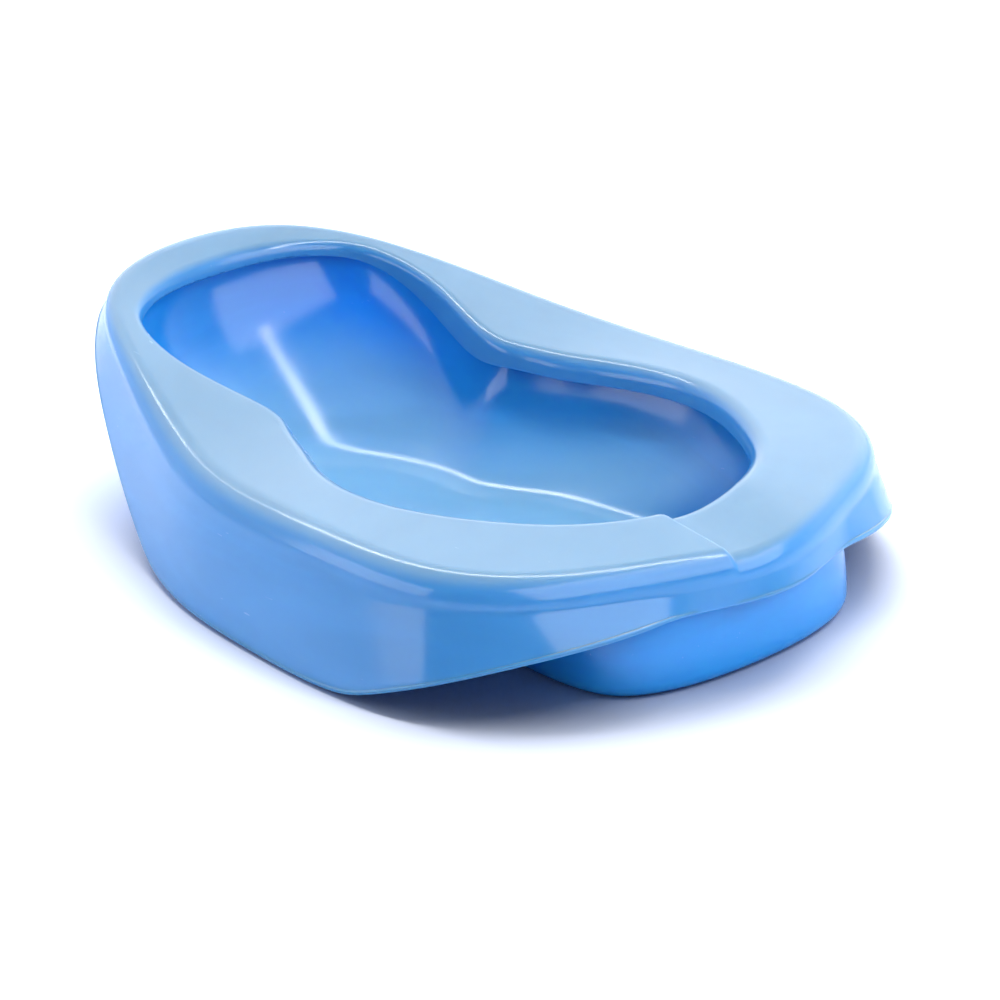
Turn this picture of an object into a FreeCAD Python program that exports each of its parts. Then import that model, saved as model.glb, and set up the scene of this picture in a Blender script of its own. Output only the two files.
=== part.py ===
import FreeCAD, Part
import math
import os

# A contoured bedpan: a seat shell with a skirt, and a bowl joined under its deck.
# Frame: +X points to the low, wide end, -X to the tall end, +Z up, z = 0 is the surface it stands on.
# Both mouldings are built as regions that meet face to face. Each region is a ring round the pan, made
# of ruled strips between closed curves that all pass through the same stations. Sizes are in mm.

WALL = 2.5                  # wall thickness of both mouldings
POLE_X = -2.4               # the outlines are polar about this point, which centres the length on x = 0
FINE_STEP = 1.5             # degrees between stations across the low end, where the channel is
COARSE_STEP = 3.0           # degrees between stations round the rest
FINE_LIMIT = 15.0
NORMAL_STEP = 0.5           # degrees either side of a station over which an outline's normal is taken

# Half outlines seen from above: (degrees from the low end, radius)
SEAT_OUTLINE = [(0, 199.7), (18, 192.5), (32, 191.5), (46, 185), (62, 162.5), (80, 145), (100, 139.5),
                (122, 142), (145, 163), (162, 189), (180, 196.5)]
OPENING_OUTLINE = [(0, 150.5), (13, 147), (24, 140.5), (34, 131.5), (44, 123), (57, 113), (72, 100),
                   (85, 89), (100, 80), (116, 78.5), (128, 84), (136, 101), (144, 130), (149, 146),
                   (154, 158), (161, 165.5), (180, 169)]
FLOOR_OUTLINE = [(0, 192.5), (12, 193), (19, 191.5), (25, 183), (32, 154), (45, 103), (60, 71), (78, 54),
                 (100, 47), (125, 47), (143, 58), (157, 79), (168, 98), (180, 107)]

# Heights: (x, height of the deck's outer edge), and how much higher the opening's edge is there
DECK_HEIGHT = [(-250, 108), (-195, 99.6), (-150, 90.8), (-110, 81.8), (-40, 67.2), (40, 64), (120, 62.5),
               (250, 61)]
OPENING_RISE = [(-200, 1.3), (0, 0), (200, 4.5)]

# Rolled edges and the skirt's flare: (degrees from the low end, value). The outer roll is part of an
# ellipse, OUTER_ROLL wide and ROLL_DROP high.
OUTER_ROLL = [(0, 9), (20, 10), (45, 13), (62, 14), (108, 13.5), (130, 10.5), (152, 7), (180, 9)]
ROLL_DROP = [(0, 14), (60, 14), (108, 13.5), (130, 10.5), (152, 7), (180, 9)]
OPENING_ROLL = [(0, 8), (60, 8), (112, 7.8), (152, 5), (180, 8)]
FLARE = [(0, 3), (16, 3.5), (20, 6.5), (38, 8.5), (56, 12), (75, 10.5), (120, 7), (152, 6), (180, 1.5)]
# Straight part of the opening's lip, below its roll
LIP_DROP = [(0, 4), (60, 4), (110, 4.5), (126, 8), (140, 12), (150, 5), (158, 2.5), (180, 2)]

# Lower edge of the skirt: high at the low end, near the table amidships, high again at the tall end
EDGE_LOW_END = 39.5
EDGE_LOWEST = 1.0
EDGE_TALL_END = 90.0
EDGE_CLEARANCE = 5.0        # least height of skirt left below the outer roll
CLEARANCE_ROUNDING = 3.0    # how gradually the edge gives way to that least height
EDGE_SLOPE_START = 88.0     # x where the edge leaves the table towards the low end
EDGE_SLOPE_END = 182.0
EDGE_RISE_START = -70.0     # x where it starts to rise to the tall end
TIP_X = -190.0              # x where it would reach EDGE_TALL_END
LOW_ROUNDING = 10.0         # length of the edge's bends towards the low end, and towards the tall end
TALL_ROUNDING = 18.0

# Pouring channel across the deck at the low end
CHANNEL_DEPTH = 3.5
CHANNEL_STEP = (-25.5, -22.5)       # crisp side: y where the channel starts and where it is full depth
CHANNEL_RAMP = (30.0, -16.0)        # gentle side, the same two places

# Bowl
BOWL_GAP = 3.0              # from the opening's roll to the bowl's inner face, under the deck
BOWL_REACH = 24.0           # how much further out the bowl runs under the low end of the deck
REACH_FULL = 18.0           # degrees from the low end where the reach is still full
REACH_NONE = 60.0
BOTTOM_RADIUS = [(0, 7), (25, 7), (60, 10), (110, 10), (150, 14), (180, 16)]
FLOOR_THICKNESS = 3.0
SHOULDER = 0.5              # height, as a share of the wall's, of the bend in the bowl's wall

# Planes that divide the rings into their nodes
LOW_END_X = 120.0
TALL_END_X = -120.0
FAR = 500.0                 # larger than the pan

SPLINE_PASSES = 60          # enough for a spline's slopes to settle
ROLL_STEPS = [math.radians(a) for a in (0, 22.5, 45, 67.5, 90)]
WALL_STEPS = (0.0, 0.2, 0.4, 0.6, 0.8, 1.0)
BOTTOM_STEPS = (0.25, 0.5, 0.75, 1.0)


def spline(table):
    """Return a smooth function through (position, value) pairs, level at both ends."""
    knots = [float(k) for k, v in table]
    values = [float(v) for k, v in table]
    count = len(knots)
    gaps = [knots[i + 1] - knots[i] for i in range(count - 1)]
    rises = [(values[i + 1] - values[i]) / gaps[i] for i in range(count - 1)]
    slopes = [0.0] * count
    for step in range(SPLINE_PASSES):
        for i in range(1, count - 1):
            pull = 3 * (rises[i - 1] * gaps[i] + rises[i] * gaps[i - 1])
            near = slopes[i - 1] * gaps[i] + slopes[i + 1] * gaps[i - 1]
            slopes[i] = (pull - near) / (2 * (gaps[i - 1] + gaps[i]))

    def value(position):
        i = 0
        while i < count - 2 and position > knots[i + 1]:
            i += 1
        t = (position - knots[i]) / gaps[i]
        t = max(0.0, min(1.0, t))
        start = (1 + 2 * t) * (1 - t) ** 2 * values[i] + t * (1 - t) ** 2 * gaps[i] * slopes[i]
        end = t * t * (3 - 2 * t) * values[i + 1] + t * t * (t - 1) * gaps[i] * slopes[i + 1]
        return start + end

    return value


def smooth_step(t):
    t = max(0.0, min(1.0, t))
    return t * t * (3 - 2 * t)


def station_angles():
    """Degrees round the whole pan, from -180 to 180, finer across the low end."""
    half = []
    angle = 0.0
    while angle < 180.0 - 0.01:
        half.append(angle)
        angle += FINE_STEP if angle < FINE_LIMIT - 0.01 else COARSE_STEP
    half.append(180.0)
    return [-a for a in reversed(half[1:])] + half[:-1]


ANGLES = station_angles()


def plan(table):
    """Points of a symmetric outline at every station, with their outward normals."""
    radius = spline(table)

    def point(angle):
        r = radius(abs(angle))
        return POLE_X + r * math.cos(math.radians(angle)), r * math.sin(math.radians(angle))

    result = []
    for angle in ANGLES:
        x, y = point(angle)
        ax, ay = point(angle - NORMAL_STEP)
        bx, by = point(angle + NORMAL_STEP)
        length = math.hypot(bx - ax, by - ay)
        result.append((x, y, (by - ay) / length, (ax - bx) / length))
    return result


def closed_curve(points):
    curve = Part.BSplineCurve()
    parameters = ANGLES + [ANGLES[0] + 360.0]
    curve.interpolate(Points=points, PeriodicFlag=True, Parameters=parameters)
    return curve.toShape()


def ring_solid(curves):
    """Solid ring whose section joins the given closed curves in order, by straight strips."""
    faces = []
    for start, end in zip(curves, curves[1:] + curves[:1]):
        faces.append(Part.makeRuledSurface(start, end))
    return solid_from(faces)


def solid_from(faces):
    shell = Part.makeShell(faces)
    shell.sewShape()
    solid = Part.makeSolid(shell)
    if solid.Volume < 0:
        solid.reverse()
    return solid


def offset_curve(outline, offsets, heights):
    points = []
    for (x, y, nx, ny), d, z in zip(outline, offsets, heights):
        points.append(FreeCAD.Vector(x + d * nx, y + d * ny, z))
    return closed_curve(points)


def by_angle(table):
    value = spline(table)
    return [value(abs(angle)) for angle in ANGLES]


def channel_dip(x, y):
    """How far the channel sinks the deck; the channel crosses the low end only."""
    if x < 0:
        return 0.0
    step = smooth_step((y - CHANNEL_STEP[0]) / (CHANNEL_STEP[1] - CHANNEL_STEP[0]))
    ramp = smooth_step((y - CHANNEL_RAMP[0]) / (CHANNEL_RAMP[1] - CHANNEL_RAMP[0]))
    return CHANNEL_DEPTH * step * ramp


def edge_height(x):
    """Height of the skirt's lower edge: straight slopes with rounded changes between them."""
    def ramp(distance, rounding):
        return 0.5 * (distance + math.hypot(distance, rounding))

    front = (EDGE_LOW_END - EDGE_LOWEST) / (EDGE_SLOPE_END - EDGE_SLOPE_START)
    back = (EDGE_TALL_END - EDGE_LOWEST) / (EDGE_RISE_START - TIP_X)
    height = EDGE_LOWEST
    height += front * ramp(x - EDGE_SLOPE_START, LOW_ROUNDING)
    height -= front * ramp(x - EDGE_SLOPE_END, LOW_ROUNDING)
    height += back * ramp(EDGE_RISE_START - x, TALL_ROUNDING)
    return height


seat = plan(SEAT_OUTLINE)
opening = plan(OPENING_OUTLINE)
floor = plan(FLOOR_OUTLINE)
outer_roll = by_angle(OUTER_ROLL)
opening_roll = by_angle(OPENING_ROLL)
flare = by_angle(FLARE)
bottom_radius = by_angle(BOTTOM_RADIUS)
low_end_share = [smooth_step((REACH_NONE - abs(a)) / (REACH_NONE - REACH_FULL)) for a in ANGLES]

deck_height = spline(DECK_HEIGHT)
opening_rise = spline(OPENING_RISE)
seat_dip = [channel_dip(x, y) for x, y, nx, ny in seat]
seat_top = [deck_height(x) - dip for (x, y, nx, ny), dip in zip(seat, seat_dip)]
roll_height = [drop - dip for drop, dip in zip(by_angle(ROLL_DROP), seat_dip)]
opening_top = [deck_height(x) + opening_rise(x) - channel_dip(x, y) for x, y, nx, ny in opening]


def roll_curves(outline, tops, widths, drops, side, depth):
    """Curves down a rolled edge, at a depth below the outer skin. side is 1 outward, -1 inward."""
    curves = []
    for phi in ROLL_STEPS:
        offsets = [side * ((w - depth) * math.sin(phi) - w) for w in widths]
        heights = [top - h + (h - depth) * math.cos(phi) for top, h in zip(tops, drops)]
        curves.append(offset_curve(outline, offsets, heights))
    return curves


outer_skin = roll_curves(seat, seat_top, outer_roll, roll_height, 1, 0)
outer_under = roll_curves(seat, seat_top, outer_roll, roll_height, 1, WALL)
lip_skin = roll_curves(opening, opening_top, opening_roll, opening_roll, -1, 0)
lip_under = roll_curves(opening, opening_top, opening_roll, opening_roll, -1, WALL)


def under_deck_points():
    """Points under the deck where the bowl's inner and outer faces meet it, at every station."""
    inner = []
    outer = []
    for i in range(len(ANGLES)):
        x, y, nx, ny = opening[i]
        ax = x + opening_roll[i] * nx
        ay = y + opening_roll[i] * ny
        sx, sy, mx, my = seat[i]
        bx = sx - outer_roll[i] * mx
        by = sy - outer_roll[i] * my
        a = FreeCAD.Vector(ax, ay, opening_top[i] - WALL)
        b = FreeCAD.Vector(bx, by, seat_top[i] - WALL)
        span = (b - a).Length
        start = BOWL_GAP + BOWL_REACH * low_end_share[i]
        inner.append(a + (b - a) * (start / span))
        outer.append(a + (b - a) * ((start + WALL) / span))
    return inner, outer


bowl_inner_top, bowl_outer_top = under_deck_points()
bowl_inner_rim = closed_curve(bowl_inner_top)
bowl_outer_rim = closed_curve(bowl_outer_top)


def bend(start, corner, end, t):
    """Point on the curve that leaves start towards corner and reaches end coming from it."""
    return start * (1 - t) ** 2 + corner * (2 * t * (1 - t)) + end * t ** 2


def bowl_curves(tops, inset, base):
    """Curves down one face of the bowl: the wall from its rim, then the rounded bottom to the floor."""
    wall_points = [[] for t in WALL_STEPS]
    bottom_points = [[] for t in BOTTOM_STEPS]
    for top, (x, y, nx, ny), radius, bulge in zip(tops, floor, bottom_radius, low_end_share):
        corner = FreeCAD.Vector(x - inset * nx, y - inset * ny, base)
        shoulder = top + (corner - top) * bulge
        shoulder.z = base + SHOULDER * (top.z - base)
        wall_end = corner + (shoulder - corner).normalize() * radius
        floor_end = corner + FreeCAD.Vector(-nx, -ny, 0) * radius
        for points, t in zip(wall_points, WALL_STEPS):
            points.append(bend(top, shoulder, wall_end, t))
        for points, t in zip(bottom_points, BOTTOM_STEPS):
            points.append(bend(wall_end, corner, floor_end, t))
    return [closed_curve(points) for points in wall_points + bottom_points]


def make_seat_deck():
    under = [lip_under[0], bowl_inner_rim, bowl_outer_rim, outer_under[0]]
    return ring_solid([outer_skin[0], lip_skin[0]] + under)


def make_outer_roll():
    return ring_solid(outer_skin + outer_under[::-1])


def make_opening_lip():
    low = [top - r - drop for top, r, drop in zip(opening_top, opening_roll, by_angle(LIP_DROP))]
    edge = offset_curve(opening, [0.0] * len(ANGLES), low)
    back = offset_curve(opening, [WALL] * len(ANGLES), low)
    return ring_solid(lip_skin + [edge, back] + lip_under[::-1])


def skirt_edge_heights():
    heights = []
    for (x, y, nx, ny), top, drop in zip(seat, seat_top, roll_height):
        highest = top - drop - EDGE_CLEARANCE
        below = 0.5 * (highest - edge_height(x))
        heights.append(highest - below - math.hypot(below, CLEARANCE_ROUNDING))
    return heights


def make_skirt():
    low = skirt_edge_heights()
    edge = offset_curve(seat, flare, low)
    inside = offset_curve(seat, [f - WALL for f in flare], low)
    return ring_solid([outer_skin[-1], edge, inside, outer_under[-1]])


def make_bowl():
    outside = bowl_curves(bowl_outer_top, 0.0, 0.0)
    inside = bowl_curves(bowl_inner_top, WALL, FLOOR_THICKNESS)
    wall_end = len(WALL_STEPS)
    wall = ring_solid(outside[:wall_end] + inside[wall_end - 1::-1])
    bottom = ring_solid(outside[wall_end - 1:] + inside[:wall_end - 2:-1])
    edge_strip = Part.makeRuledSurface(outside[-1], inside[-1])
    top = Part.Face(Part.Wire(inside[-1]))
    underside = Part.Face(Part.Wire(outside[-1]))
    underside.reverse()
    floor_plate = solid_from([underside, edge_strip, top])
    return wall, bottom, floor_plate


def block(x0, x1, y0, y1):
    return Part.makeBox(x1 - x0, y1 - y0, FAR, FreeCAD.Vector(x0, y0, -FAR / 2))


def sectors(solid):
    """Divide a ring into its low end, tall end, left and right (seen from the tall end)."""
    return {
        "low_end": solid.common(block(LOW_END_X, FAR, -FAR, FAR)),
        "left": solid.common(block(TALL_END_X, LOW_END_X, 0, FAR)),
        "right": solid.common(block(TALL_END_X, LOW_END_X, -FAR, 0)),
        "tall_end": solid.common(block(-FAR, TALL_END_X, -FAR, FAR)),
    }


def save(name, shape):
    shape.exportStep("parts/" + name + ".step")
    box = shape.BoundBox
    print(name, "solids", len(shape.Solids), "valid", shape.isValid(), "volume", round(shape.Volume),
          "box", [round(v, 1) for v in (box.XMin, box.XMax, box.YMin, box.YMax, box.ZMin, box.ZMax)])


os.makedirs("parts", exist_ok=True)
for place, piece in sectors(make_seat_deck()).items():
    save("seat_deck_" + place, piece)
for place, piece in sectors(make_skirt()).items():
    save("skirt_" + place, piece)
save("outer_roll", make_outer_roll())
save("opening_lip", make_opening_lip())
bowl_wall, bowl_bottom, bowl_floor = make_bowl()
for place, piece in sectors(bowl_wall).items():
    save("bowl_wall_" + place, piece)
save("bowl_bottom_radius", bowl_bottom)
save("bowl_floor", bowl_floor)
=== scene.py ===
import math

import bpy
import numpy as np
from mathutils import Matrix, Vector


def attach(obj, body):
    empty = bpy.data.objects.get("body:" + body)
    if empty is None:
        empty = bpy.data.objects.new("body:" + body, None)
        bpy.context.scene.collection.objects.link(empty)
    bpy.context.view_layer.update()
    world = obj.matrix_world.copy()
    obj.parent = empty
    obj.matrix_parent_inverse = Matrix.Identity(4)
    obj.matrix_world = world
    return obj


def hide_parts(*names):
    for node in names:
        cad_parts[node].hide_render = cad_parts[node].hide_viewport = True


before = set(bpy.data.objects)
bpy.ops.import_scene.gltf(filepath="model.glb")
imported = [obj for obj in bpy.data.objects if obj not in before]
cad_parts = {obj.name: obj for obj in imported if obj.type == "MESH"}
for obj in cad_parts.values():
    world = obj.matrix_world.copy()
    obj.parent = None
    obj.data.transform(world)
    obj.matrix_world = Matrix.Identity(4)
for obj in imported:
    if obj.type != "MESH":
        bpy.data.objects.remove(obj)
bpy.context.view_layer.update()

mm = 0.001
poleX = -2.4  # the outlines are polar about this point, in mm


# Outlines, heights and rolls are (degrees from the low end or x, value) pairs, in mm.
seatShape = {
    "outline": [(0, 199.7), (18, 192.5), (32, 191.5), (46, 185), (62, 162.5), (80, 145), (100, 139.5),
                (122, 142), (145, 163), (162, 189), (180, 196.5)],
    "opening": [(0, 150.5), (13, 147), (24, 140.5), (34, 131.5), (44, 123), (57, 113), (72, 100),
                (85, 89), (100, 80), (116, 78.5), (128, 84), (136, 101), (144, 130), (149, 146),
                (154, 158), (161, 165.5), (180, 169)],
    "deckHeight": [(-250, 108), (-195, 99.6), (-150, 90.8), (-110, 81.8), (-40, 67.2), (40, 64),
                   (120, 62.5), (250, 61)],
    "openingRise": [(-200, 1.3), (0, 0), (200, 4.5)],
    "outerRoll": [(0, 9), (20, 10), (45, 13), (62, 14), (108, 13.5), (130, 10.5), (152, 7), (180, 9)],
    "rollDrop": [(0, 14), (60, 14), (108, 13.5), (130, 10.5), (152, 7), (180, 9)],
    "openingRoll": [(0, 8), (60, 8), (112, 7.8), (152, 5), (180, 8)],
    "flare": [(0, 3), (16, 3.5), (20, 6.5), (38, 8.5), (56, 12), (75, 10.5), (120, 7), (152, 6),
              (180, 1.5)],
    "lipDrop": [(0, 4), (60, 4), (110, 4.5), (126, 8), (140, 12), (150, 5), (158, 2.5), (180, 2)],
    "wall": 2.5,
    "edgeRounding": 0.7,   # radius of the cut edges
    "edge": {"lowEnd": 39.5, "lowest": 1.0, "tallEnd": 90.0, "clearance": 5.0,
             "slopeStart": 88.0, "slopeEnd": 182.0, "riseStart": -70.0, "tip": -190.0,
             "lowRounding": 10.0, "tallRounding": 18.0, "clearanceRounding": 3.0},
    "channel": {"depth": 3.5, "step": (-25.5, -22.5), "ramp": (30.0, -16.0)},
}

bowlShape = {
    "floor": [(0, 192.5), (12, 193), (19, 191.5), (25, 183), (32, 154), (45, 103), (60, 71), (78, 54),
              (100, 47), (125, 47), (143, 58), (157, 79), (168, 98), (180, 107)],
    "bottomRadius": [(0, 7), (25, 7), (60, 10), (110, 10), (150, 14), (180, 16)],
    "gap": 3.0,
    "reach": 24.0,
    "reachFull": 18.0,
    "reachNone": 60.0,
    "shoulder": 0.5,
    "floorThickness": 3.0,
    "floorMiddle": 0.3,   # size of the flat face in the middle of the floor, as a share of the floor
}

# How finely the surfaces are cut up
fineness = {
    "channelHalfAngle": 16,   # degrees from the low end with closer stations, for the channel
    "channelStations": 110,
    "sideStations": 290,
    "lipRows": 4,
    "openingRollRows": 12,
    "deckRows": 18,
    "outerRollRows": 15,
    "skirtRows": 11,
    "bowlWallRows": 30,
    "bottomRows": 12,
    "floorRows": 10,
    "normalStep": 0.4,        # degrees either side over which an outline's normal is taken
    "splinePasses": 60,
    "joinPasses": 12,
}


def spline(table):
    # smooth curve through (position, value) pairs, level at both ends
    knots = np.array([k for k, v in table], float)
    values = np.array([v for k, v in table], float)
    gaps = np.diff(knots)
    rises = np.diff(values) / gaps
    slopes = np.zeros(len(knots))
    for step in range(fineness["splinePasses"]):
        for i in range(1, len(knots) - 1):
            pull = 3 * (rises[i - 1] * gaps[i] + rises[i] * gaps[i - 1])
            near = slopes[i - 1] * gaps[i] + slopes[i + 1] * gaps[i - 1]
            slopes[i] = (pull - near) / (2 * (gaps[i - 1] + gaps[i]))

    def value(position):
        p = np.clip(np.asarray(position, float), knots[0], knots[-1])
        i = np.clip(np.searchsorted(knots, p) - 1, 0, len(knots) - 2)
        t = (p - knots[i]) / gaps[i]
        start = (1 + 2 * t) * (1 - t) ** 2 * values[i] + t * (1 - t) ** 2 * gaps[i] * slopes[i]
        end = t * t * (3 - 2 * t) * values[i + 1] + t * t * (t - 1) * gaps[i] * slopes[i + 1]
        return start + end

    return value


def smoothStep(t):
    t = np.clip(t, 0, 1)
    return t * t * (3 - 2 * t)


def planPoints(table, angles):
    # outline points and outward normals, both (n, 2)
    radius = spline(table)

    def at(a):
        r = radius(np.abs((a + 180) % 360 - 180))
        return np.stack([poleX + r * np.cos(np.radians(a)), r * np.sin(np.radians(a))], -1)

    along = at(angles + fineness["normalStep"]) - at(angles - fineness["normalStep"])
    normals = np.stack([along[:, 1], -along[:, 0]], -1)
    return at(angles), normals / np.linalg.norm(normals, axis=1, keepdims=True)


def byAngle(table, angles):
    # a table's value at each angle; both halves of the pan share it
    return spline(table)(np.abs((angles + 180) % 360 - 180))


def lifted(plan, heights):
    # plan points with a height for each
    return np.concatenate([plan, np.broadcast_to(np.asarray(heights, float)[:, None], (len(plan), 1))], 1)


def stationsRound():
    # degrees from the low end, closer together across the channel
    near = fineness["channelHalfAngle"]
    side = fineness["sideStations"]
    return np.concatenate([
        np.linspace(-180, -near, side, endpoint=False),
        np.linspace(-near, near, fineness["channelStations"], endpoint=False),
        np.linspace(near, 180, side, endpoint=False),
    ])


stationAngles = stationsRound()
seatPlan, seatNormal = planPoints(seatShape["outline"], stationAngles)
openingPlan, openingNormal = planPoints(seatShape["opening"], stationAngles)
floorPlan, floorNormal = planPoints(bowlShape["floor"], stationAngles)
outerRoll = byAngle(seatShape["outerRoll"], stationAngles)
rollDrop = byAngle(seatShape["rollDrop"], stationAngles)
openingRoll = byAngle(seatShape["openingRoll"], stationAngles)
flare = byAngle(seatShape["flare"], stationAngles)
lipDrop = byAngle(seatShape["lipDrop"], stationAngles)


def channelDip(points):
    # how far the pouring channel sinks the deck: a crisp step on one side, a gentle ramp on the other
    c = seatShape["channel"]

    def sunk(side):
        return smoothStep((points[..., 1] - side[0]) / (side[1] - side[0]))

    return np.where(points[..., 0] > 0, c["depth"] * sunk(c["step"]) * sunk(c["ramp"]), 0)


deckHeight = spline(seatShape["deckHeight"])
openingRise = spline(seatShape["openingRise"])
seatTop = deckHeight(seatPlan[:, 0])
openingTop = deckHeight(openingPlan[:, 0]) + openingRise(openingPlan[:, 0])


def skirtEdgeHeights():
    # straight slopes with rounded changes between them, kept clear of the outer roll
    e = seatShape["edge"]
    x = seatPlan[:, 0]

    def ramp(distance, rounding):
        return 0.5 * (distance + np.hypot(distance, rounding))

    front = (e["lowEnd"] - e["lowest"]) / (e["slopeEnd"] - e["slopeStart"])
    back = (e["tallEnd"] - e["lowest"]) / (e["riseStart"] - e["tip"])
    climb = ramp(x - e["slopeStart"], e["lowRounding"]) - ramp(x - e["slopeEnd"], e["lowRounding"])
    height = e["lowest"] + front * climb
    height = height + back * ramp(e["riseStart"] - x, e["tallRounding"])
    highest = seatTop - rollDrop - e["clearance"]
    below = 0.5 * (highest - height)
    return highest - below - np.hypot(below, e["clearanceRounding"])


def gridNormals(grid):
    # grid is (stations, rows, 3), closed round the stations
    around = np.roll(grid, -1, 0) - np.roll(grid, 1, 0)
    along = np.gradient(grid, axis=1)
    n = np.cross(along, around)
    return n / np.maximum(np.linalg.norm(n, axis=2, keepdims=True), 1e-9)


def meshFromGrid(name, grid, closedRows):
    # quads over a (stations, rows, 3) grid in mm, closed round the stations
    stations, rows = grid.shape[:2]
    index = np.arange(stations * rows).reshape(stations, rows)
    ahead = np.roll(index, -1, 0)
    if closedRows:
        nextRow = np.roll(index, -1, 1)
        aheadNext = np.roll(ahead, -1, 1)
    else:
        index, ahead, nextRow, aheadNext = index[:, :-1], ahead[:, :-1], index[:, 1:], ahead[:, 1:]
    quads = np.stack([index, nextRow, aheadNext, ahead], -1).reshape(-1, 4)
    mesh = bpy.data.meshes.new(name)
    mesh.from_pydata((grid.reshape(-1, 3) * mm).tolist(), [], quads.tolist())
    mesh.validate()
    mesh.polygons.foreach_set("use_smooth", [True] * len(mesh.polygons))
    piece = bpy.data.objects.new(name, mesh)
    bpy.context.scene.collection.objects.link(piece)
    return piece


def facesOutward(piece):
    # turns the mesh round if its signed volume is negative
    mesh = piece.data
    volume = 0.0
    for polygon in mesh.polygons:
        corners = [mesh.vertices[i].co for i in polygon.vertices]
        for b, c in zip(corners[1:], corners[2:]):
            volume += corners[0].dot(b.cross(c))
    if volume < 0:
        mesh.flip_normals()
    return piece


# The two rolled edges; side is 1 where the roll turns down outwards, -1 where it turns down inwards
outerEdge = {"plan": seatPlan, "normal": seatNormal, "top": seatTop, "width": outerRoll,
             "drop": rollDrop, "side": 1}
openingEdge = {"plan": openingPlan, "normal": openingNormal, "top": openingTop, "width": openingRoll,
               "drop": openingRoll, "side": -1}


def rollPoint(edge, phi):
    # points on a rolled edge at angle phi from its top
    out = edge["side"] * edge["width"] * (np.sin(phi) - 1)
    heights = edge["top"] - edge["drop"] * (1 - np.cos(phi))
    return lifted(edge["plan"] + out[:, None] * edge["normal"], heights)


def slopeAlong(plan, tops):
    # how fast a height climbs along a closed outline, with the outline's direction
    step = np.roll(plan, -1, 0) - np.roll(plan, 1, 0)
    length = np.linalg.norm(step, axis=1)
    return step / length[:, None], (np.roll(tops, -1) - np.roll(tops, 1)) / length


def deckJoins():
    # angles at which the straight deck leaves the opening's roll and meets the outer roll, both tangent
    alongIn, climbIn = slopeAlong(openingPlan, openingTop)
    alongOut, climbOut = slopeAlong(seatPlan, seatTop)
    phiIn = np.zeros(len(stationAngles))
    phiOut = np.zeros(len(stationAngles))
    for step in range(fineness["joinPasses"]):
        a = rollPoint(openingEdge, phiIn)
        b = rollPoint(outerEdge, phiOut)
        d = b - a
        flatIn = d[:, 2] - climbIn * np.sum(d[:, :2] * alongIn, 1)
        flatOut = d[:, 2] - climbOut * np.sum(d[:, :2] * alongOut, 1)
        runIn = np.sum(d[:, :2] * openingNormal, 1)
        runOut = np.sum(d[:, :2] * seatNormal, 1)
        phiIn = 0.5 * phiIn + 0.5 * np.arctan2(flatIn, runIn)
        phiOut = 0.5 * phiOut - 0.5 * np.arctan2(flatOut * outerRoll, runOut * rollDrop)
    return phiIn, phiOut


def rollRows(edge, start, end, count):
    steps = np.linspace(0, 1, count)
    return np.stack([rollPoint(edge, start + (end - start) * t) for t in steps], 1)


def between(first, last, shares):
    # rows between two (stations, 1, 3) rows
    return first + (last - first) * shares[None, :, None]


def seatSkin():
    # outer skin from the lip's lower edge over the deck and the roll down to the skirt's free edge
    quarter = np.full(len(stationAngles), math.pi / 2)
    phiIn, phiOut = deckJoins()
    lipRoll = rollRows(openingEdge, quarter, phiIn, fineness["openingRollRows"])
    lipFoot = lifted(openingPlan, openingTop - openingRoll - lipDrop)[:, None, :]
    lipRise = between(lipFoot, lipRoll[:, :1], np.linspace(0, 1, fineness["lipRows"])[:-1])
    outer = rollRows(outerEdge, phiOut, quarter, fineness["outerRollRows"])
    deck = between(lipRoll[:, -1:], outer[:, :1], np.linspace(0, 1, fineness["deckRows"])[1:-1])
    foot = lifted(seatPlan + flare[:, None] * seatNormal, skirtEdgeHeights())[:, None, :]
    skirt = between(outer[:, -1:], foot, np.linspace(0, 1, fineness["skirtRows"])[1:])
    flat = np.concatenate([lipRise, lipRoll, deck], 1)
    flat[..., 2] -= channelDip(flat)
    outer[..., 2] -= channelDip(outer) * np.cos(np.linspace(0, math.pi / 2, fineness["outerRollRows"]))
    return np.concatenate([flat, outer, skirt], 1)


def cutEdge(skin, inner, normal, row, before, rounding):
    # rounded rows from the skin to the inner face at one end, and the pull that makes room for them
    step = skin[:, row] - skin[:, before]
    step = step / np.linalg.norm(step, axis=1, keepdims=True)
    rows = []
    for face, side, angles in ((skin, -1, (30, 60)), (inner, 1, (60, 30))):
        for phi in np.radians(angles):
            lift = side * normal[:, row] * rounding * (1 - math.cos(phi))
            rows.append(face[:, row] + lift - step * rounding * (1 - math.sin(phi)))
    return np.stack(rows, 1), step * rounding


def thickened(skin, wall, rounding):
    # closes a skin into a shell: the skin, a rounded edge, the inner face back, a rounded edge
    normal = gridNormals(skin)
    inner = skin - normal * wall
    endRows, endPull = cutEdge(skin, inner, normal, -1, -2, rounding)
    startRows, startPull = cutEdge(skin, inner, normal, 0, 1, rounding)
    body = skin.copy()
    back = inner.copy()
    for face in (body, back):
        face[:, -1] -= endPull
        face[:, 0] -= startPull
    return np.concatenate([body, endRows, back[:, ::-1], startRows[:, ::-1]], 1)


def buildSeatShell():
    grid = thickened(seatSkin(), seatShape["wall"], seatShape["edgeRounding"])
    return facesOutward(meshFromGrid("seatShell", grid, True))


seatShell = buildSeatShell()
print("seat shell", len(seatShell.data.polygons))

# 1 where the bowl reaches furthest out under the deck, 0 where it drops straight from the opening
lowEndShare = smoothStep((bowlShape["reachNone"] - np.abs(stationAngles))
                         / (bowlShape["reachNone"] - bowlShape["reachFull"]))[:, None]


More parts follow.
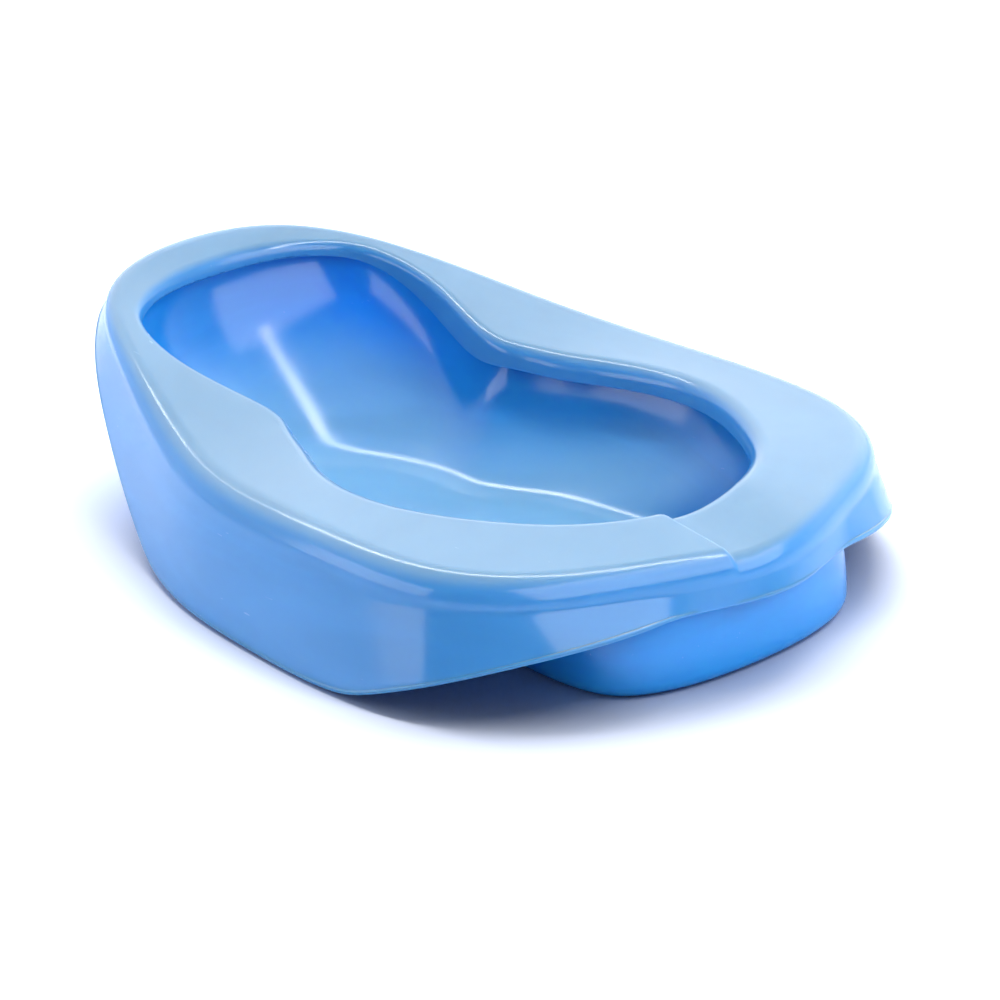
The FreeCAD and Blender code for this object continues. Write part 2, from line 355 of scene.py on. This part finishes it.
def underDeck():
    # where the bowl's inner and outer faces meet the underside of the deck
    a = lifted(openingPlan + openingRoll[:, None] * openingNormal, openingTop - seatShape["wall"])
    b = lifted(seatPlan - outerRoll[:, None] * seatNormal, seatTop - seatShape["wall"])
    a[:, 2] -= channelDip(a)
    b[:, 2] -= channelDip(b)
    span = np.linalg.norm(b - a, axis=1)[:, None]
    start = bowlShape["gap"] + bowlShape["reach"] * lowEndShare
    return a + (b - a) * start / span, a + (b - a) * (start + seatShape["wall"]) / span


def bowlFace(tops, inset, base):
    # rows down one face of the bowl from its rim to the middle of the floor
    radius = byAngle(bowlShape["bottomRadius"], stationAngles)[:, None]
    corner = lifted(floorPlan - inset * floorNormal, np.full(len(floorPlan), base))
    shoulder = tops + (corner - tops) * lowEndShare
    shoulder[:, 2] = base + bowlShape["shoulder"] * (tops[:, 2] - base)
    up = shoulder - corner
    wallEnd = corner + up / np.linalg.norm(up, axis=1, keepdims=True) * radius
    floorEnd = corner - lifted(floorNormal, np.zeros(len(corner))) * radius

    def bend(p0, p1, p2, t):
        t = t[None, :, None]
        return p0[:, None] * (1 - t) ** 2 + p1[:, None] * 2 * t * (1 - t) + p2[:, None] * t ** 2

    wall = bend(tops, shoulder, wallEnd, np.linspace(0, 1, fineness["bowlWallRows"]))
    bottom = bend(wallEnd, corner, floorEnd, np.linspace(0, 1, fineness["bottomRows"])[1:])
    middle = np.array([poleX, 0, base])
    shrink = np.linspace(1, bowlShape["floorMiddle"], fineness["floorRows"])[1:]
    flat = middle + (floorEnd[:, None] - middle) * shrink[None, :, None]
    return np.concatenate([wall, bottom, flat], 1)


def buildBowl():
    innerTop, outerTop = underDeck()
    inside = bowlFace(innerTop, seatShape["wall"], bowlShape["floorThickness"])
    outside = bowlFace(outerTop, 0.0, 0.0)
    rim = 0.5 * (inside[:, :1] + outside[:, :1])
    grid = np.concatenate([inside[:, ::-1], rim, outside], 1)
    piece = meshFromGrid("bowl", grid, False)
    stations, rows = grid.shape[:2]
    closeMiddle(piece, stations, rows)
    return facesOutward(piece)


def closeMiddle(piece, stations, rows):
    # one flat face over the hole left in the middle of the floor, inside and underneath
    mesh = piece.data
    vertices = [v.co.copy() for v in mesh.vertices]
    faces = [list(p.vertices) for p in mesh.polygons]
    faces.append([s * rows for s in range(stations)])
    faces.append([s * rows + rows - 1 for s in reversed(range(stations))])
    mesh.clear_geometry()
    mesh.from_pydata(vertices, [], faces)
    mesh.polygons.foreach_set("use_smooth", [True] * len(mesh.polygons))


bowl = buildBowl()
print("bowl", len(bowl.data.polygons))


def node(tree, kind, at, **values):
    n = tree.nodes.new(kind)
    n.location = at
    for key, v in values.items():
        if key in n.inputs:
            n.inputs[key].default_value = v
        else:
            setattr(n, key, v)
    return n


def markUpward(piece):
    # how far each vertex faces up, for the painted light that makes up-facing faces paler
    mesh = piece.data
    normals = np.zeros(len(mesh.vertices) * 3, dtype=np.float32)
    mesh.vertex_normals.foreach_get("vector", normals)
    upward = mesh.attributes.new("upward", "FLOAT", "POINT")
    upward.data.foreach_set("value", normals.reshape(-1, 3)[:, 2].copy())


# "inwards" is the share by which the bead is drawn in, so that it stays within the pan's width
edgeBead = {"radius": 1.1, "proud": 0.2, "inwards": 0.32 / 150, "points": 900, "sides": 12}


def socket(group, name, kind, value):
    entry = group.interface.new_socket(name=name, in_out="INPUT", socket_type=kind)
    entry.default_value = value
    return entry.identifier


def beadNodes(material):
    # a round bead of the given radius along the curve of an edge loop
    group = bpy.data.node_groups.new("beadNodes", "GeometryNodeTree")
    group.interface.new_socket(name="Geometry", in_out="INPUT", socket_type="NodeSocketGeometry")
    ids = {
        "radius": socket(group, "Bead radius", "NodeSocketFloat", edgeBead["radius"] * mm),
        "points": socket(group, "Points along the edge", "NodeSocketInt", edgeBead["points"]),
        "sides": socket(group, "Sides of the bead", "NodeSocketInt", edgeBead["sides"]),
    }
    group.interface.new_socket(name="Geometry", in_out="OUTPUT", socket_type="NodeSocketGeometry")
    start = node(group, "NodeGroupInput", (-900, 0))
    curve = node(group, "GeometryNodeMeshToCurve", (-700, 0))
    even = node(group, "GeometryNodeResampleCurve", (-500, 0))
    section = node(group, "GeometryNodeCurvePrimitiveCircle", (-500, -250))
    sweep = node(group, "GeometryNodeCurveToMesh", (-300, 0))
    smooth = node(group, "GeometryNodeSetShadeSmooth", (-100, 0))
    solid = node(group, "GeometryNodeRealizeInstances", (100, 0))
    paint = node(group, "GeometryNodeSetMaterial", (300, 0), Material=material)
    end = node(group, "NodeGroupOutput", (500, 0))
    links = group.links
    links.new(start.outputs["Geometry"], curve.inputs["Mesh"])
    links.new(curve.outputs["Curve"], even.inputs["Curve"])
    links.new(start.outputs["Points along the edge"], even.inputs["Count"])
    links.new(start.outputs["Bead radius"], section.inputs["Radius"])
    links.new(start.outputs["Sides of the bead"], section.inputs["Resolution"])
    links.new(even.outputs["Curve"], sweep.inputs["Curve"])
    links.new(section.outputs["Curve"], sweep.inputs["Profile Curve"])
    links.new(sweep.outputs["Mesh"], smooth.inputs["Geometry"])
    links.new(smooth.outputs["Geometry"], solid.inputs["Geometry"])
    links.new(solid.outputs["Geometry"], paint.inputs["Geometry"])
    links.new(paint.outputs["Geometry"], end.inputs["Geometry"])
    return group, ids


def buildEdgeBead(material):
    # the bead that stiffens the skirt's free edge
    radius = edgeBead["radius"]
    out = flare + edgeBead["proud"] - radius
    path = lifted(seatPlan + out[:, None] * seatNormal, skirtEdgeHeights() + radius)
    path[:, :2] *= 1 - edgeBead["inwards"]
    count = len(path)
    mesh = bpy.data.meshes.new("edgePath")
    mesh.from_pydata((path * mm).tolist(), [(i, (i + 1) % count) for i in range(count)], [])
    piece = bpy.data.objects.new("edgeBead", mesh)
    bpy.context.scene.collection.objects.link(piece)
    group, ids = beadNodes(material)
    modifier = piece.modifiers.new("bead", "NODES")
    modifier.node_group = group
    modifier[ids["radius"]] = radius * mm
    modifier[ids["points"]] = edgeBead["points"]
    modifier[ids["sides"]] = edgeBead["sides"]
    graph = bpy.context.evaluated_depsgraph_get()
    plain = bpy.data.meshes.new_from_object(piece.evaluated_get(graph))
    piece.modifiers.remove(modifier)
    piece.data = plain
    markUpward(piece)
    return facesOutward(piece)


plastic = {
    "seatColour": (0.055, 0.25, 0.55),
    # seatTop and bowlTop are painted light: paler colours where a face points up
    "seatTop": (0.18, 0.325, 0.475),
    # bowlColour is the seat's blue made deeper and more saturated, painted shade for the enclosed bowl
    "bowlColour": (0.014, 0.235, 0.60),
    "bowlTop": (0.20, 0.44, 0.68),
    "topRange": (0.5, 0.97),        # how far up a face has to point to start to pale, and to be palest
    "refraction": 1.49,
    "roughness": 0.15,
    "smudge": (-0.02, 0.03),
    "subsurface": 1.0,
    "scatterRadius": (0.5, 0.8, 1.0),
    "scatterDepth": 0.004,
    "flowScale": (7.0, 7.0, 34.0),  # flow lines are long round the pan and close together upwards
    "flowShade": (0.95, 1.05),
    "flowRange": (0.3, 0.7),        # the stretch of the noise that the flow lines come from
    "smudgeRange": (0.35, 0.65),
    "scratchRange": (0.62, 0.75),
    "scratchScale": (60, 900, 700),
    "scratchRoughness": 0.10,
    "rippleScale": 55.0,
    "bump": 0.05,
    "bumpDepth": 0.002,
}


def mapRange(tree, at, source, low, high, toLow, toHigh):
    # smooth step of a value from one range to another
    n = node(tree, "ShaderNodeMapRange", at, interpolation_type="SMOOTHSTEP")
    n.inputs["From Min"].default_value = low
    n.inputs["From Max"].default_value = high
    n.inputs["To Min"].default_value = toLow
    n.inputs["To Max"].default_value = toHigh
    tree.links.new(source, n.inputs["Value"])
    return n.outputs["Result"]


def noise(tree, at, coords, scale, **values):
    # noise on coordinates stretched by a different scale along each axis
    stretch = node(tree, "ShaderNodeVectorMath", (at[0] - 200, at[1]), operation="MULTIPLY")
    stretch.inputs[1].default_value = scale
    tree.links.new(coords, stretch.inputs[0])
    n = node(tree, "ShaderNodeTexNoise", at, Scale=1.0, **values)
    tree.links.new(stretch.outputs[0], n.inputs["Vector"])
    return n.outputs["Fac"]


def plasticColour(tree, flow, colour, topColour):
    # paler where the surface faces up, which is painted light, with faint flow lines
    upward = node(tree, "ShaderNodeAttribute", (-900, -300), attribute_name="upward")
    facing = mapRange(tree, (-700, -300), upward.outputs["Fac"], *plastic["topRange"], 0, 1)
    # painted top light: mixes in the paler colour where the face points up
    paintedTopLight = node(tree, "ShaderNodeMix", (-500, -100), data_type="RGBA")
    # inputs 6 and 7 and output 2 are the mix node's colours
    paintedTopLight.inputs[6].default_value = (*colour, 1)
    paintedTopLight.inputs[7].default_value = (*topColour, 1)
    tree.links.new(facing, paintedTopLight.inputs[0])
    vary = mapRange(tree, (-700, 200), flow, *plastic["flowRange"], *plastic["flowShade"])
    shade = node(tree, "ShaderNodeVectorMath", (-300, 0), operation="SCALE")
    tree.links.new(paintedTopLight.outputs[2], shade.inputs[0])
    tree.links.new(vary, shade.inputs["Scale"])
    return shade.outputs[0]


def plasticGloss(tree, flow, coords):
    # roughness: soft smudges along the flow lines and fine scratches
    scratch = noise(tree, (-900, 500), coords, plastic["scratchScale"], Detail=2.0, Distortion=0.3)
    scratched = mapRange(tree, (-700, 500), scratch, *plastic["scratchRange"], 0, plastic["scratchRoughness"])
    glossy, dull = [plastic["roughness"] + change for change in plastic["smudge"]]
    smudge = mapRange(tree, (-700, 350), flow, *plastic["smudgeRange"], glossy, dull)
    rough = node(tree, "ShaderNodeMath", (-500, 400), operation="ADD")
    tree.links.new(scratched, rough.inputs[0])
    tree.links.new(smudge, rough.inputs[1])
    return rough.outputs[0]


def plasticRipple(tree, coords):
    # the slight unevenness of a moulded face
    ripple = node(tree, "ShaderNodeTexNoise", (-900, -600), Scale=plastic["rippleScale"], Detail=2.0)
    tree.links.new(coords, ripple.inputs["Vector"])
    bump = node(tree, "ShaderNodeBump", (-300, -500), Strength=plastic["bump"])
    bump.inputs["Distance"].default_value = plastic["bumpDepth"]
    tree.links.new(ripple.outputs["Fac"], bump.inputs["Height"])
    return bump.outputs["Normal"]


def glossPlastic(name, colour, topColour):
    # glossy moulded plastic that lets a little light in
    material = bpy.data.materials.new(name)
    material.use_nodes = True
    tree = material.node_tree
    shader = tree.nodes["Principled BSDF"]
    shader.inputs["IOR"].default_value = plastic["refraction"]
    shader.inputs["Subsurface Weight"].default_value = plastic["subsurface"]
    shader.inputs["Subsurface Radius"].default_value = plastic["scatterRadius"]
    shader.inputs["Subsurface Scale"].default_value = plastic["scatterDepth"]
    coords = node(tree, "ShaderNodeTexCoord", (-1300, 0)).outputs["Object"]
    flow = noise(tree, (-900, 200), coords, plastic["flowScale"], Detail=4.0, Distortion=1.2)
    tree.links.new(plasticColour(tree, flow, colour, topColour), shader.inputs["Base Color"])
    tree.links.new(plasticGloss(tree, flow, coords), shader.inputs["Roughness"])
    tree.links.new(plasticRipple(tree, coords), shader.inputs["Normal"])
    return material


def setMaterial(piece, material):
    piece.data.materials.clear()
    piece.data.materials.append(material)


seatPlastic = glossPlastic("seatPlastic", plastic["seatColour"], plastic["seatTop"])
# the bowl's copy of the plastic carries the deeper, painted-shade colour
bowlPlastic = glossPlastic("bowlPlastic", plastic["bowlColour"], plastic["bowlTop"])
setMaterial(seatShell, seatPlastic)
setMaterial(bowl, bowlPlastic)

markUpward(seatShell)
markUpward(bowl)
bead = buildEdgeBead(seatPlastic)
print("edge bead", len(bead.data.polygons))

seatNodes = [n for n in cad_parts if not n.startswith("bowl")]
bowlNodes = [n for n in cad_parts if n.startswith("bowl")]
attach(seatShell, "root")
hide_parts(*seatNodes)
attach(bowl, "root")
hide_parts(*bowlNodes)
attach(bead, "root")
print("materials and frame")


# Camera: angles in degrees, the lens and sensor in mm, the rest in metres
view = {"azimuth": 46.2, "elevation": 22.97, "roll": -0.48, "distance": 1.8257, "lens": 143.17, "sensor": 36,
        "target": (poleX * mm, 0, 0.05), "shiftRight": 0.0184, "shiftUp": -0.0288}


def makeCamera():
    a = math.radians(view["azimuth"])
    e = math.radians(view["elevation"])
    back = Vector((math.sin(a) * math.cos(e), -math.cos(a) * math.cos(e), math.sin(e)))
    right = Vector((math.cos(a), math.sin(a), 0))
    up = back.cross(right)
    r = math.radians(view["roll"])
    right, up = right * math.cos(r) + up * math.sin(r), up * math.cos(r) - right * math.sin(r)
    place = Vector(view["target"]) + back * view["distance"]
    place += right * view["shiftRight"] + up * view["shiftUp"]
    data = bpy.data.cameras.new("camera")
    data.lens = view["lens"]
    data.sensor_width = view["sensor"]
    camera = bpy.data.objects.new("camera", data)
    turn = Matrix((right, up, back)).transposed().to_4x4()
    camera.matrix_world = Matrix.Translation(place) @ turn
    bpy.context.scene.collection.objects.link(camera)
    bpy.context.scene.camera = camera


studio = {
    "floorHalf": 6.0,
    "floorColour": (0.76, 0.82, 0.97),
    "floorRoughness": 0.85,
    "floorShine": 0.1,
    "backdrop": (-0.80, 0.60, 0.05),    # where the bright backdrop is
    "backdropEdges": (-0.55, 0.75),
    "backdropGlow": (0.12, 2.0),
    "ceilingEdges": (0.6, 0.97),
    "ceilingShare": 0.2,
    "roomColour": (0.82, 0.88, 1.0),
}

# Each light's place, what it points at, its size, power and colour
lights = {
    "overheadStrip": ((-0.05, 0.20, 1.35), (0, 0, 0), (2.6, 0.12), 16, (1, 0.985, 0.96)),
    "leftPanel": ((-0.50, -1.42, 0.42), (0, 0, 0.1), (1.3, 0.8), 8.5, (1, 0.97, 0.93)),
    "rightPanel": ((1.25, 0.11, 0.80), (0, 0, 0.05), (2.0, 1.2), 25, (1, 0.97, 0.94)),
    "floorKey": ((-0.50, 0.50, 1.35), (0, 0, 0), (1.6, 0.9), 30, (1, 0.98, 0.95)),
}


def makeFloor():
    mesh = bpy.data.meshes.new("floor")
    half = studio["floorHalf"]
    corners = [(-half, -half, 0), (half, -half, 0), (half, half, 0), (-half, half, 0)]
    mesh.from_pydata(corners, [], [(0, 1, 2, 3)])
    floor = bpy.data.objects.new("floor", mesh)
    bpy.context.scene.collection.objects.link(floor)
    material = bpy.data.materials.new("floorPaper")
    material.use_nodes = True
    shader = material.node_tree.nodes["Principled BSDF"]
    shader.inputs["Base Color"].default_value = (*studio["floorColour"], 1)
    shader.inputs["Roughness"].default_value = studio["floorRoughness"]
    shader.inputs["Specular IOR Level"].default_value = studio["floorShine"]
    setMaterial(floor, material)
    return floor


def areaLight(name):
    place, aim, size, power, colour = lights[name]
    data = bpy.data.lights.new(name, "AREA")
    data.shape = "RECTANGLE"
    data.size, data.size_y = size
    data.energy = power
    data.color = colour
    light = bpy.data.objects.new(name, data)
    direction = Vector(aim) - Vector(place)
    light.matrix_world = Matrix.Translation(place) @ direction.to_track_quat("-Z", "Y").to_matrix().to_4x4()
    bpy.context.scene.collection.objects.link(light)
    return light


def makeWorld():
    # bright backdrop behind and beside the pan, darker room on the camera's side
    world = bpy.data.worlds.new("studio")
    world.use_nodes = True
    tree = world.node_tree
    background = tree.nodes["Background"]
    coords = node(tree, "ShaderNodeTexCoord", (-1200, 0))
    facing = node(tree, "ShaderNodeVectorMath", (-1000, 0), operation="DOT_PRODUCT")
    facing.inputs[1].default_value = Vector(studio["backdrop"]).normalized()
    tree.links.new(coords.outputs["Generated"], facing.inputs[0])
    glow = mapRange(tree, (-800, 0), facing.outputs["Value"], *studio["backdropEdges"],
                    *studio["backdropGlow"])
    split = node(tree, "ShaderNodeSeparateXYZ", (-1000, -200))
    tree.links.new(coords.outputs["Generated"], split.inputs[0])
    height = mapRange(tree, (-800, -250), split.outputs["Z"], *studio["ceilingEdges"],
                      1.0, studio["ceilingShare"])
    strength = node(tree, "ShaderNodeMath", (-600, 0), operation="MULTIPLY")
    tree.links.new(glow, strength.inputs[0])
    tree.links.new(height, strength.inputs[1])
    tree.links.new(strength.outputs[0], background.inputs["Strength"])
    background.inputs["Color"].default_value = (*studio["roomColour"], 1)
    bpy.context.scene.world = world


def lightOnly(light, pieces):
    lit = bpy.data.collections.new(light.name + "Receivers")
    for piece in pieces:
        lit.objects.link(piece)
    light.light_linking.receiver_collection = lit


def makeLights():
    # the panels only show as soft reflections on the pan, and the wide key only whitens the floor
    areaLight("overheadStrip")
    lightOnly(areaLight("leftPanel"), (seatShell, bowl, bead))
    lightOnly(areaLight("rightPanel"), (seatShell, bowl, bead))
    lightOnly(areaLight("floorKey"), (floor,))


makeCamera()
floor = makeFloor()
makeWorld()
makeLights()
bpy.context.scene.view_settings.view_transform = "Standard"
print("camera, floor and light")
